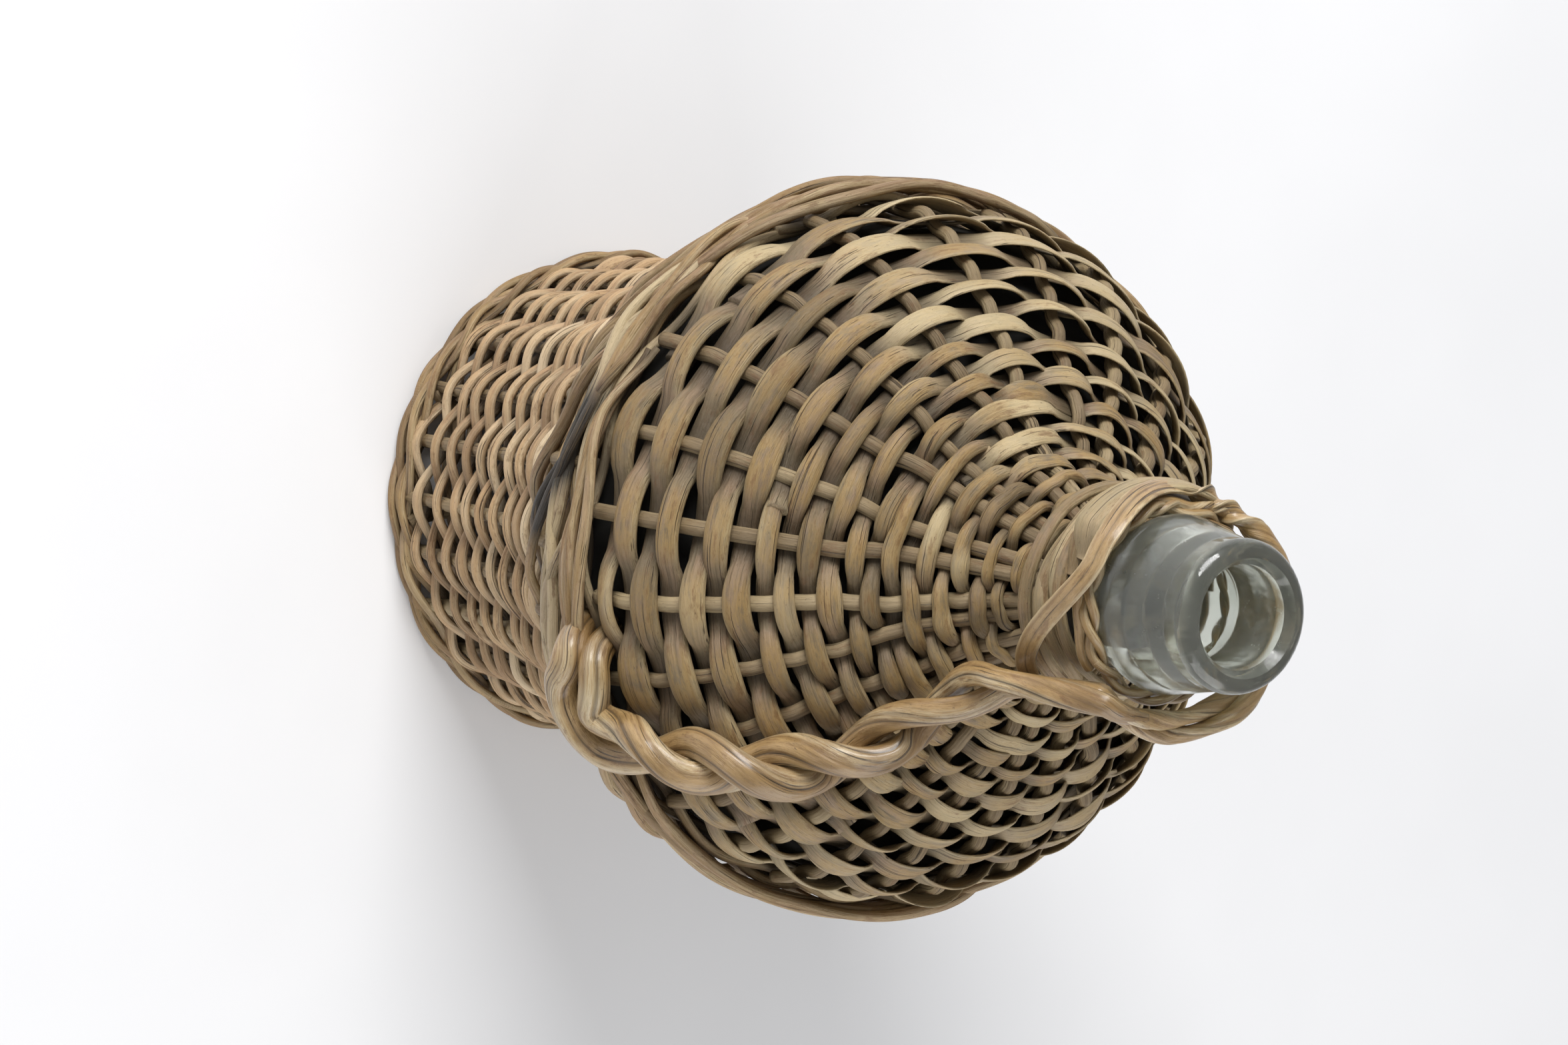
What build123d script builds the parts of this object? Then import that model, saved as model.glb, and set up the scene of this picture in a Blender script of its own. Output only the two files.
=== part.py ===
from build123d import *
from math import cos, pi, radians, sin, tan
import os

# Wicker-covered glass flask, standing upright. Millimetres, +Z up along the bottle's axis,
# origin on the axis in the plane that the foot stands on, carrying handle on the +X side.

# Overall shape of the wicker jacket: radius and height of its outer face.
LOWER_WALL = [(59, 0), (59.8, 34), (62.7, 63.5), (68.6, 89), (75, 108), (79, 125), (78.8, 132)]
SHOULDER_WALL = [(76, 134), (72, 151.5), (57, 168.5), (34, 185.5), (23.4, 195.5), (20.6, 206), (20.6, 224)]

# Stakes and rods
LOWER_STAKES = 26
UPPER_STAKES = 24
LOWER_STAKE_TURN = 6.5      # angle of the first stake from +X, in degrees
UPPER_STAKE_TURN = 7.0
UPPER_STAKE_CROWDING = 12   # the upper stakes crowd towards the handle by up to this angle
CROWDING_TURN = 17          # angle at which they stand closest
LOWER_STAKE_RADIUS = 1.5
UPPER_STAKE_RADIUS = 1.5
ROD_RADIUS = 1.15
BORDER_ROD_RADIUS = 1.7
STRIP_THICKNESS = 1.8
CLEARANCE = 0.25
LOWER_STAKE_DEPTH = 4.0     # from the wall's outer face in to a stake's centreline
UPPER_STAKE_DEPTH = 3.3

# Rows, as lengths measured up the wall from its lower end
LOWER_ROWS = 19
FIRST_LOWER_ROW = 9.5
LOWER_ROW_PITCH = 4.4
BORDER_RODS = 7
FIRST_BORDER_ROD = 95.2
BORDER_ROD_PITCH = 6.1
SHOULDER_ROWS = 19
FIRST_SHOULDER_ROW = 5.0
SHOULDER_ROW_PITCH = 5.85   # between the lowest two rows
PITCH_LOSS = 0.17           # each following pitch is this much shorter
STRIP_COVER = 0.84          # a strip's width as a share of the pitch round it

# Base
BASE_STICK_RADIUS = 1.8
BASE_STICK_LENGTH = 100.0
BASE_STICK_SPACING = 5.0
STICKS_EACH_WAY = 4
BASE_WEAVE_RADIUS = 1.2
BASE_WEAVE_RINGS = 8
BASE_WEAVE_PITCH = 5.0
FIRST_BASE_RING = 14.0
LOWER_STICK_HEIGHT = 4.6
UPPER_STICK_HEIGHT = 8.3

# Bottle
BOTTLE_FOOT = 10.3
BOTTLE_TOP = 254.0
NECK_RADIUS = 14.6
NECK_INSIDE = 11.8
MOUTH_RADIUS = 10.2
MOUTH_DEPTH = 16.0
LIP_RADIUS = 14.8
COLLAR_RADIUS = 17.9
COLLAR_HEIGHT = 231.0
GLASS_WALL = 3.0

# Neck and carrying handle
NECK_ROWS = 7               # narrow rows above the shoulder's own, round the neck
NECK_ROW_PITCH = 2.8
UPPER_STAKE_TOP = 217.5
COLLAR_STRIP_HEIGHT = 221.0
COLLAR_STRIP_WIDTH = 5.6
TWIST_HEIGHT = 226.0
TWIST_RADIUS = 1.2
TWIST_RING_RADIUS = 18.6
LOOP_RADIUS = 24.0
LOOP_HEIGHT = 230.5
LOOP_TILT = 4.0             # rise of the neck loop on its high side
LOOP_HIGH_SIDE = 120        # angle of that side from +X, in degrees
LOOP_OPENING = 22           # half the gap left for the top of the handle, in degrees
LOOP_ROD_RADIUS = 1.6
LOOP_TWISTS = 5
HANDLE_ROD_RADIUS = 3.0
HANDLE_ROD_OFFSET = 3.4     # from the handle's centreline to a rod's
HANDLE_TWISTS = 4.1
HANDLE_TWIST_EASING = 0.32  # share by which the twist is tighter at the border and looser at the neck
HANDLE_STEPS = 56
HANDLE_START = 315          # place of the first rod round the centreline at the border, in degrees
# Handle centreline: distance from the axis, angle about it in degrees, height. It lies along the
# border first, then bends up the shoulder to the neck.
HANDLE_ROUTE = [
    (83.0, -29, 137), (83.5, -23.5, 136.8), (84.6, -18, 136.4), (85.8, -13.2, 138.6), (84.4, -9.8, 145.4),
    (79.8, -6.8, 153.8), (75, -3.6, 162), (69, -0.4, 169.6), (61.4, 2.6, 176), (52.8, 4.3, 182),
    (44.4, 4, 187.8), (36.8, 3.4, 194), (31.4, 2.2, 202), (28.9, 0.6, 211), (27.8, -1, 220),
    (27.4, -1.5, 228.5),
]

TURN = 2 * pi


def polar(radius, angle, height):
    """Point at a distance from the axis, an angle about it in radians, and a height."""
    return Vector(radius * cos(angle), radius * sin(angle), height)


def wall_curve(points):
    """Smooth outer face of a wall in the XZ plane."""
    return Edge.make_spline([Vector(radius, 0, height) for radius, height in points])


def wall_point(wall, length, depth):
    """Point at a length up the wall and a depth under its face, with the wall's direction there."""
    face = wall.position_at(length, position_mode=PositionMode.LENGTH)
    along = wall.tangent_at(length, position_mode=PositionMode.LENGTH)
    outward = Vector(along.Z, 0, -along.X)
    return face - outward * depth, along


def rounded_path(points):
    """Straight runs through the points, joined by arcs as large as the runs allow."""
    radii = []
    for before, corner, after in zip(points, points[1:], points[2:]):
        run_in = corner - before
        run_out = after - corner
        half_turn = radians(run_in.get_angle(run_out)) / 2
        radii.append(0.45 * min(run_in.length, run_out.length) / tan(half_turn))
    return FilletPolyline(*points, radius=radii)


def rod(points, radius):
    """Round rod along a rounded path."""
    path = rounded_path(points)
    section = Plane(origin=path @ 0, z_dir=path % 0) * Circle(radius)
    return sweep(section, path=path)


def round_ring(radius, height, rod_radius):
    return Pos(0, 0, height) * Torus(radius, rod_radius)


def flat_ring(wall, length, width, depth):
    """Flat strip laid round the wall, its middle at a depth under the wall's face."""
    centre, along = wall_point(wall, length, depth)
    plane = Plane(origin=centre, x_dir=along, z_dir=(0, -1, 0))
    section = plane * RectangleRounded(width, STRIP_THICKNESS, STRIP_THICKNESS * 0.4)
    return revolve(section, axis=Axis.Z)


def lower_stake_angles():
    return [LOWER_STAKE_TURN + 360 * step / LOWER_STAKES for step in range(LOWER_STAKES)]


def upper_stake_angles():
    """The upper stakes stand closer together on the handle's side than on the far side."""
    even = [UPPER_STAKE_TURN + 360 * step / UPPER_STAKES for step in range(UPPER_STAKES)]
    return [angle - UPPER_STAKE_CROWDING * sin(radians(angle - CROWDING_TURN)) for angle in even]


def bottle():
    """Clear glass bottle: pear body, narrow neck, thick tapered collar and a rounded lip."""
    outside = FilletPolyline(
        (0, 0, BOTTLE_FOOT), (46, 0, BOTTLE_FOOT), (53.2, 0, 42), (62, 0, 92), (71.2, 0, 119),
        (70.8, 0, 137), (66.5, 0, 149), (49.7, 0, 166), (NECK_RADIUS, 0, 191),
        (NECK_RADIUS, 0, 221.5), (COLLAR_RADIUS, 0, COLLAR_HEIGHT), (LIP_RADIUS, 0, 247),
        (LIP_RADIUS + 0.4, 0, BOTTLE_TOP), (MOUTH_RADIUS - 2, 0, BOTTLE_TOP),
        radius=[10, 80, 60, 14, 16, 30, 40, 9, 8, 7, 3, 3.2],
    )
    close = Polyline(outside @ 1, (0, 0, BOTTLE_TOP), (0, 0, BOTTLE_FOOT))
    body = revolve(make_face(outside.edges() + close.edges()), axis=Axis.Z)
    return body - cavity()


def cavity():
    """Space inside the bottle, with the raised punt in its floor."""
    floor = BOTTLE_FOOT + GLASS_WALL + 1
    mouth_bottom = BOTTLE_TOP - MOUTH_DEPTH
    inside = FilletPolyline(
        (0, 0, floor + 9), (26, 0, floor + 1.5), (43.5, 0, floor), (50.2, 0, 44), (59, 0, 93),
        (68.1, 0, 120), (67.8, 0, 136), (64, 0, 147), (48, 0, 163.5), (NECK_INSIDE, 0, 188),
        (NECK_INSIDE, 0, mouth_bottom - 5), (MOUTH_RADIUS, 0, mouth_bottom), (MOUTH_RADIUS, 0, BOTTLE_TOP - 2),
        radius=[12, 8, 76, 57, 12, 14, 28, 38, 12, 4, 3],
    )
    rim = Polyline(inside @ 1, (MOUTH_RADIUS + 2, 0, BOTTLE_TOP + 1), (0, 0, BOTTLE_TOP + 1), (0, 0, floor + 9))
    return revolve(make_face(inside.edges() + rim.edges()), axis=Axis.Z)


def sticks(height, turned):
    """One layer of the crossed sticks that carry the base."""
    stick = Rot(0, 90, 0) * Cylinder(BASE_STICK_RADIUS, BASE_STICK_LENGTH)
    middle = (STICKS_EACH_WAY - 1) / 2
    layer = [Pos(0, (step - middle) * BASE_STICK_SPACING, height) * stick for step in range(STICKS_EACH_WAY)]
    return [Rot(0, 0, turned) * each for each in layer]


def stakes(wall, angles, radius, depth, start, end, steps):
    """Upright rods just under the wall's face, one at each angle, between two lengths up the wall."""
    lengths = [start + (end - start) * step / steps for step in range(steps + 1)]
    points = [wall_point(wall, length, depth)[0] for length in lengths]
    stake = rod(points, radius)
    return [Rot(0, 0, angle) * stake for angle in angles]


def twisted(centres, across, angles, offset):
    """Points that wind round a centreline; across gives two square directions at each of its points."""
    points = []
    for centre, (first, second), angle in zip(centres, across, angles):
        points.append(centre + first * (offset * cos(angle)) + second * (offset * sin(angle)))
    return points


def handle_rod(start):
    """One of the two rods twisted together into the handle."""
    line = rounded_path([polar(radius, radians(angle), height) for radius, angle, height in HANDLE_ROUTE])
    shares = [step / HANDLE_STEPS for step in range(HANDLE_STEPS + 1)]
    centres = [line @ share for share in shares]
    across = []
    for share, centre in zip(shares, centres):
        along = line % share
        radial = Vector(centre.X, centre.Y, 0)
        outward = (radial - along * radial.dot(along)).normalized()
        across.append((outward, along.cross(outward)))
    eased = [share * (1 + HANDLE_TWIST_EASING * (1 - share)) for share in shares]
    angles = [start + TURN * HANDLE_TWISTS * share for share in eased]
    return rod(twisted(centres, across, angles, HANDLE_ROD_OFFSET), HANDLE_ROD_RADIUS)


def neck_loop_rod(start):
    """One of the two rods twisted together into the loop that ties the handle to the neck."""
    count = 41
    opening = radians(LOOP_OPENING)
    centres = []
    across = []
    angles = [start + TURN * LOOP_TWISTS * step / (count - 1) for step in range(count)]
    for step in range(count):
        angle = opening + (TURN - 2 * opening) * step / (count - 1)
        radial = Vector(cos(angle), sin(angle), 0)
        height = LOOP_HEIGHT + LOOP_TILT * cos(angle - radians(LOOP_HIGH_SIDE))
        centres.append(polar(LOOP_RADIUS, angle, height))
        across.append((radial, Vector(0, 0, 1)))
    return rod(twisted(centres, across, angles, LOOP_ROD_RADIUS + 0.25), LOOP_ROD_RADIUS)


def assembly():
    """Every piece of the flask, by node name."""
    lower = wall_curve(LOWER_WALL)
    shoulder = wall_curve(SHOULDER_WALL)
    pieces = {"glass_bottle": [bottle()]}
    pieces["base_sticks_lower"] = sticks(LOWER_STICK_HEIGHT, 0)
    pieces["base_sticks_upper"] = sticks(UPPER_STICK_HEIGHT, 90)
    pieces["base_weave"] = [
        round_ring(FIRST_BASE_RING + BASE_WEAVE_PITCH * ring, BASE_WEAVE_RADIUS + 0.2, BASE_WEAVE_RADIUS)
        for ring in range(BASE_WEAVE_RINGS)
    ]

    border_depth = LOWER_STAKE_DEPTH - LOWER_STAKE_RADIUS - CLEARANCE - BORDER_ROD_RADIUS
    for number in range(2):
        height = BORDER_ROD_RADIUS * (1 + 2.1 * number)
        radius = wall_point(lower, height, border_depth)[0].X
        pieces[f"foot_rod_{number + 1}"] = [round_ring(radius, height, BORDER_ROD_RADIUS)]

    pieces["lower_stakes"] = stakes(
        lower, lower_stake_angles(), LOWER_STAKE_RADIUS, LOWER_STAKE_DEPTH, 2, lower.length - 3, 14
    )
    rod_depth = LOWER_STAKE_DEPTH - LOWER_STAKE_RADIUS - CLEARANCE - ROD_RADIUS
    for number in range(LOWER_ROWS):
        centre, _ = wall_point(lower, FIRST_LOWER_ROW + LOWER_ROW_PITCH * number, rod_depth)
        pieces[f"lower_weaver_{number + 1:02d}"] = [round_ring(centre.X, centre.Z, ROD_RADIUS)]
    for number in range(BORDER_RODS):
        centre, _ = wall_point(lower, FIRST_BORDER_ROD + BORDER_ROD_PITCH * number, border_depth)
        pieces[f"border_rod_{number + 1}"] = [round_ring(centre.X, centre.Z, BORDER_ROD_RADIUS)]

    neck_start = shoulder.length - SHOULDER_WALL[-1][1]
    pieces["upper_stakes"] = stakes(
        shoulder, upper_stake_angles(), UPPER_STAKE_RADIUS, UPPER_STAKE_DEPTH, 0.5, neck_start + UPPER_STAKE_TOP, 20
    )
    strip_depth = UPPER_STAKE_DEPTH - UPPER_STAKE_RADIUS - CLEARANCE - STRIP_THICKNESS / 2
    length = FIRST_SHOULDER_ROW
    for number in range(SHOULDER_ROWS):
        pitch = SHOULDER_ROW_PITCH - PITCH_LOSS * number
        width = STRIP_COVER * pitch
        pieces[f"upper_weaver_{number + 1:02d}"] = [flat_ring(shoulder, length, width, strip_depth)]
        length += pitch
    pieces["neck_weavers"] = [
        flat_ring(shoulder, length + NECK_ROW_PITCH * number, STRIP_COVER * NECK_ROW_PITCH, strip_depth)
        for number in range(NECK_ROWS)
    ]
    pieces["collar_strip"] = [
        flat_ring(shoulder, neck_start + COLLAR_STRIP_HEIGHT, COLLAR_STRIP_WIDTH, strip_depth)
    ]
    pieces["collar_twist"] = [round_ring(TWIST_RING_RADIUS, TWIST_HEIGHT, TWIST_RADIUS)]
    pieces["neck_loop_rod_1"] = [neck_loop_rod(0)]
    pieces["neck_loop_rod_2"] = [neck_loop_rod(pi)]
    pieces["handle_rod_1"] = [handle_rod(radians(HANDLE_START))]
    pieces["handle_rod_2"] = [handle_rod(radians(HANDLE_START) + pi)]
    return pieces


os.makedirs("parts", exist_ok=True)
for node, solids in assembly().items():
    export_step(solids[0] if len(solids) == 1 else Compound(children=solids), f"parts/{node}.step")
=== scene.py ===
import math
from types import SimpleNamespace

import bpy
import numpy as np
from mathutils import Matrix, Vector


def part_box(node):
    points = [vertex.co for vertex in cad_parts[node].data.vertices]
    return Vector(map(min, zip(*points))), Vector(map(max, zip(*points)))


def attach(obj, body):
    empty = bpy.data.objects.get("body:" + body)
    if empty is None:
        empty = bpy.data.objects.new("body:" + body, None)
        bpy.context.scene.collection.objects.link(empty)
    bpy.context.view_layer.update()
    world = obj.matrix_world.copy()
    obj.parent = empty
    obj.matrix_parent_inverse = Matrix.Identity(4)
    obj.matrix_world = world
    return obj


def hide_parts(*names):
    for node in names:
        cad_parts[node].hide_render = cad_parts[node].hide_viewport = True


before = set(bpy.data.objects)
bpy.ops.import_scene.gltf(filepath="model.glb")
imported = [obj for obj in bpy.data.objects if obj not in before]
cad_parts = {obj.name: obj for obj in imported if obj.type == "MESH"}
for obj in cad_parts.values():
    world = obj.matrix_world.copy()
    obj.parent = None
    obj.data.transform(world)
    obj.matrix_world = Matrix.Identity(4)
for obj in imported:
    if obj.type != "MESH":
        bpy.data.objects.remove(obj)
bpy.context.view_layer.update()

# Wicker-covered glass flask. Lengths are in millimetres and angles in radians until a mesh is
# written. The jacket's rings and stakes in the CAD model say where every woven strand goes.
MM = 0.001
TURN = 2 * math.pi

LOWER_ROWS = [f"lower_weaver_{number:02d}" for number in range(1, 20)]
UPPER_ROWS = [f"upper_weaver_{number:02d}" for number in range(1, 20)]
BORDER_RINGS = [f"border_rod_{number}" for number in range(1, 8)]
FOOT_RINGS = ["foot_rod_1", "foot_rod_2"]

LOWER_WEAVE = SimpleNamespace(
    stake_depth=3.7, stake_size=3.0, stake_sway=0.5, swing=2.1, width=2.55, thick=2.2,
    wander=0.7, jitter=0.55, roll=0.3, crowd=0.05, spread=0.3, plunge=1.0,
)
UPPER_WEAVE = SimpleNamespace(
    stake_depth=2.7, stake_size=3.1, stake_sway=0.6, swing=2.1, width=6.4, thick=2.9,
    wander=0.5, jitter=0.45, roll=0.2, crowd=0.2, spread=0.18, plunge=0.72,
)
NECK_WEAVE = SimpleNamespace(
    stake_depth=2.7, stake_size=3.1, stake_sway=0.5, swing=1.9, width=2.6, thick=1.9,
    wander=0.45, jitter=0.35, roll=0.2, crowd=0.1, spread=0.15, plunge=0.8,
)
# The rows under the border's rods lie deeper than the open rows and swing less
BORDER_WEAVE = SimpleNamespace(
    **{**vars(LOWER_WEAVE), "stake_depth": LOWER_WEAVE.stake_depth + 1.4, "swing": 1.5},
)
BORDER_ROD = 2.4            # thickness of the rods in those rows
NECK_ROWS = 7
NECK_MARGIN = 1.1           # from the ends of the neck's CAD node to the middle of its first and last row
STRIP_COVER = 1.04          # mean width of a shoulder strip, as a share of the step between its rows
PAIRED_FROM = 13            # from this row up, the upper weavers pass over two stakes and under two
PAIR_SQUEEZE = 0.3          # share of their gap by which two paired stakes move together
STEPS = 12                  # mesh steps from one stake to the next
FACING = math.radians(-38)  # side of the shoulder where the strips lie thick and flat
FLAT_UNTIL = math.radians(38)    # how far from there they stay so
RIBBONS_FROM = math.radians(75)  # how far from there they are thin ribbons

BORDER_STRANDS = 38
BORDER_REACH = (80, 120)    # how far one border rod runs round the rim, in degrees
BORDER_SIZE = (2.1, 3.0)
# The border's dark stain
STAIN_ANGLE = math.radians(-48)
STAIN_REACH = math.radians(12)
STAIN_HEIGHT = 116
STAIN_SLOPE = 0.62          # fall of the stain's middle for each degree round the rim
STAIN_HALF = 8.0            # half the stain's height
STAIN_STRENGTH = 1.6
FOOT_TURNS = 11             # turns of the foot's two rods round each other, once round the foot

HANDLE_THICKNESS = 6.9
HANDLE_STEPS = 460
HANDLE_LEAVES = 17          # length before the top of the twisted part at which its rods turn to the loop
KNOT_STEP = 7               # steps of the twisted part from one knot of a rod's route to the next
LOOP_THICKNESS = 3.8
LOOP_STEPS = 460
LOOP_TURN = 0.4             # place of the loop's first rod round the loop's middle, where the handle meets it
LOOP_START = 14             # angle at which the handle's rods turn into the loop, in degrees
LOOP_END = 366
LOOP_LOOSE = (165, 225)     # angles over which the loop's two rods part from each other, in degrees
LOOP_RISE = (225, 290)      # angles over which the flattened one then rises
LOOP_DROP = (300, 366)      # and over which it drops across the wrapping
LOOP_SHARED = 36            # steps of the loop that the handle's rods follow
LOOP_KNOT = 6               # steps of the loop from one knot of their route to the next
# The flattened rod and the thin one, once they have parted
FLAT_RADIUS = 22.6
FLAT_HEIGHT = 226.0
FLAT_RISE = 6.5
FLAT_DROP = 22.0
THIN_RADIUS = 19.6
THIN_HEIGHT = 227.6

# Middle of the handle's twisted part: distance from the axis, angle about it in degrees, height
HANDLE_ROUTE = [
    (84.4, -10.5, 138), (83.2, -8.2, 145.4), (79.6, -6.4, 153.8), (75, -3.6, 162), (69, 0, 169.6),
    (61.4, 4.2, 176), (52.8, 7, 182), (44.4, 6.6, 187.8), (36.8, 5, 194), (31.4, 2.6, 202), (28.9, 0.6, 211),
    (27.8, -1, 220), (27.4, -1.5, 228.5),
]
# Where its two rods come out of the border and lie along it
HANDLE_END_A = [
    (64, -26, 121), (72, -24.5, 126), (79.5, -23, 132), (83, -21.2, 135), (84, -19.6, 134.4),
    (84.8, -17.6, 131.6), (84.8, -15, 130), (84.8, -12, 130.3), (84.4, -7.8, 132.8), (83, -4.8, 138),
]
HANDLE_END_B = [
    (62, -24.5, 128), (70, -22.6, 133), (77.8, -20.8, 137.4), (80.6, -19.2, 139.4), (81.4, -17.4, 140),
    (82, -15.2, 139.4), (82.6, -12.5, 137.6), (81.4, -10.4, 139),
]
# Length along the twisted part at which its second half turn begins, and how much longer each one is
# than the one before
FIRST_CROSSING = 5.0
HALF_TURN = 15.5
HALF_TURN_GROWTH = 0.85

# Windings of the collar: start and length in degrees, height over the ring's middle, distance out of
# it, and width
COLLAR_WINDINGS = [
    (168, 132, 3.6, 3.0, 6.8), (20, 330, -3.4, -0.6, 3.6), (150, 160, 0.8, 0.9, 4.2),
    (60, 330, -1.2, -0.4, 2.8), (100, 365, -5.6, -0.5, 3.2), (280, 365, -8.2, 0.1, 3.0),
    (190, 365, -10.6, 1.0, 2.8),
]
COLLAR_THICKNESS = 1.7
COLLAR_STEPS = 220
TWIST_TURNS = 8             # turns of the collar's thin rods round each other, once round the neck
TWIST_LIFT = 2.2            # height of their middle over their CAD ring's

BASE_STICKS = 4             # sticks in each of the two crossed groups
BASE_CROSS = 12             # distance from the middle at which they begin to fan out and to sink
BASE_DROP = 26              # distance at which they have sunk to their outer height
BASE_FAN = 50               # distance at which they are fanned out in full
BASE_SPREAD = 2.6           # how much farther apart they are there, as a share of their first gap
BASE_STICK_HEIGHT = 6.4
BASE_ROD_HEIGHT = 5.6
BASE_SWING = 2.4
BASE_SPOKES = 16
BASE_PITCH = 2.6            # from one rod of the base to the next

# Screen colours of the marks that all the willow has, and of the painted shade in its recesses
STAIN_BROWN = "6b4a2a"
PORE_BROWN = "47331f"
CRACK_BROWN = "35261a"
# Grime and painted shade: the colour laid into recesses and creases, where strands lie deep
GRIME_AND_SHADE_BROWN = "3a3124"
SOOT_BLACK = "1d1b19"

GLASS_COLOURS = ("cfd4c8", "e8ebe2")
# Painted shade: colour of the glass under the wicker, dark as the shade inside the jacket
GLASS_PAINTED_SHADE = "453f31"
GLASS_CLEAR_FROM = 0.222    # height in metres from which the glass is clear
GLASS_DARK_UNTIL = 0.214    # height in metres up to which it is covered by the wicker


# ---------------------------------------------------------------- measuring the frame

def points(node):
    """Corner points of a CAD node, in millimetres."""
    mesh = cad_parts[node].data
    flat = np.empty(len(mesh.vertices) * 3, np.float32)
    mesh.vertices.foreach_get("co", flat)
    return flat.reshape(-1, 3).astype(float) / MM


def ring_section(node):
    """Radius and height of every corner point of a ring."""
    corners = points(node)
    return np.stack([np.hypot(corners[:, 0], corners[:, 1]), corners[:, 2]], axis=1)


def stake_angles(node, below):
    """Angle of each upright stake in a node, from its corner points under a height."""
    corners = points(node)
    corners = corners[corners[:, 2] < below]
    angles = np.sort(np.arctan2(corners[:, 1], corners[:, 0]))
    gaps = np.diff(np.append(angles, angles[0] + TURN))
    start = int(np.argmax(gaps)) + 1
    angles = np.unwrap(np.roll(angles, -start))
    splits = np.flatnonzero(np.diff(angles) > 0.03) + 1
    return np.array([group.mean() for group in np.split(angles, splits)])


def unit(vectors):
    return vectors / np.linalg.norm(vectors, axis=-1, keepdims=True)


def around_axis(angle, radius, height):
    """Points round the axis, with the upward and outward directions there."""
    radial = np.stack([np.cos(angle), np.sin(angle), np.zeros_like(angle)], axis=-1)
    upright = np.broadcast_to(np.array([0.0, 0.0, 1.0]), radial.shape)
    middle = radial * np.expand_dims(radius, -1) + upright * np.expand_dims(height, -1)
    return middle, upright, radial


class Wall:
    """Outer face of one part of the jacket, with lengths measured up it from its lowest ring."""

    def __init__(self, rings):
        sections = [ring_section(node) for node in rings]
        middles = np.array([section.mean(axis=0) for section in sections])
        steps = np.append(0, np.cumsum(np.linalg.norm(np.diff(middles, axis=0), axis=1)))
        along = unit(np.gradient(middles, steps, axis=0))
        outward = np.stack([along[:, 1], -along[:, 0]], axis=1)
        face = []
        for section, middle, direction in zip(sections, middles, outward):
            face.append(middle + direction * ((section - middle) @ direction).max())
        spare = 30
        face = np.vstack([face[0] - along[0] * spare, face, face[-1] + along[-1] * spare])
        self.face = face
        self.along = np.vstack([along[:1], along, along[-1:]])
        self.length = np.append(0, np.cumsum(np.linalg.norm(np.diff(face, axis=0), axis=1))) - spare
        self.rows = self.length[1:-1]

    def length_at(self, height):
        """Length up the wall at a height."""
        return float(np.interp(height, self.face[:, 1], self.length))

    def lay(self, length, depth, angle):
        """Points at a depth under the face, with the directions up the wall and out of it there."""
        radius, height = (np.interp(length, self.length, self.face[:, axis]) for axis in (0, 1))
        rise = np.stack([np.interp(length, self.length, self.along[:, axis]) for axis in (0, 1)], axis=-1)
        rise = unit(rise)
        middle, upright, radial = around_axis(angle, radius, height)
        along = radial * rise[..., :1] + upright * rise[..., 1:]
        outward = radial * rise[..., 1:] - upright * rise[..., :1]
        return middle - outward * np.expand_dims(depth, -1), along, outward


# ---------------------------------------------------------------- random variation

def wobble(rng, angle, size, cycles=(1, 2, 3, 5)):
    """Slow random wave round the jacket."""
    total = np.zeros_like(angle)
    for cycle in cycles:
        total += rng.normal() * np.cos(cycle * angle + rng.uniform(0, TURN))
    return total * size / math.sqrt(len(cycles))


def eased(values, place):
    """Values at whole places, joined by half waves."""
    before = np.clip(np.floor(place).astype(int), 0, len(values) - 2)
    share = (1 - np.cos(math.pi * (place - before))) / 2
    return values[before] * (1 - share) + values[before + 1] * share


def ramp(value, start, end):
    """0 before start, 1 after end, and smooth between them."""
    share = np.clip((value - start) / (end - start), 0, 1)
    return share * share * (3 - 2 * share)


# ---------------------------------------------------------------- strands

def round_section(corners):
    """A round rod's section, one unit across."""
    turn = np.arange(corners) * TURN / corners
    return np.stack([np.cos(turn), np.sin(turn)], axis=1) / 2


def split_section(corners):
    """A rod split lengthwise: domed outside, nearly flat inside."""
    turn = np.arange(corners) * TURN / corners
    across = np.sign(np.cos(turn)) * np.abs(np.cos(turn)) ** 0.85 / 2
    sine = np.sin(turn)
    through = np.where(sine > 0, 0.66 * np.abs(sine) ** 0.9, -0.34 * np.abs(sine) ** 0.5)
    return np.stack([across, through], axis=1)


def creased_section(corners, rng, creases):
    """A soft round rod, pressed flat in places, with lengthwise creases; also how deep each corner lies."""
    turn = np.arange(corners) * TURN / corners
    oval = 0.06 * np.cos(2 * turn + rng.uniform(0, TURN))
    lobed = 0.05 * np.cos(3 * turn + rng.uniform(0, TURN))
    radius = 0.5 * (1 + oval + lobed)
    sunk = np.zeros(corners)
    starts = (np.arange(creases) + rng.uniform(-0.3, 0.3, creases)) * TURN / creases
    for middle in starts:
        away = (turn - middle + math.pi) % TURN - math.pi
        sunk += rng.uniform(0.4, 1.0) * np.exp(-(away / 0.13) ** 2)
    radius -= 0.07 * sunk
    return np.stack([np.cos(turn) * radius, np.sin(turn) * radius], axis=1), sunk


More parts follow.
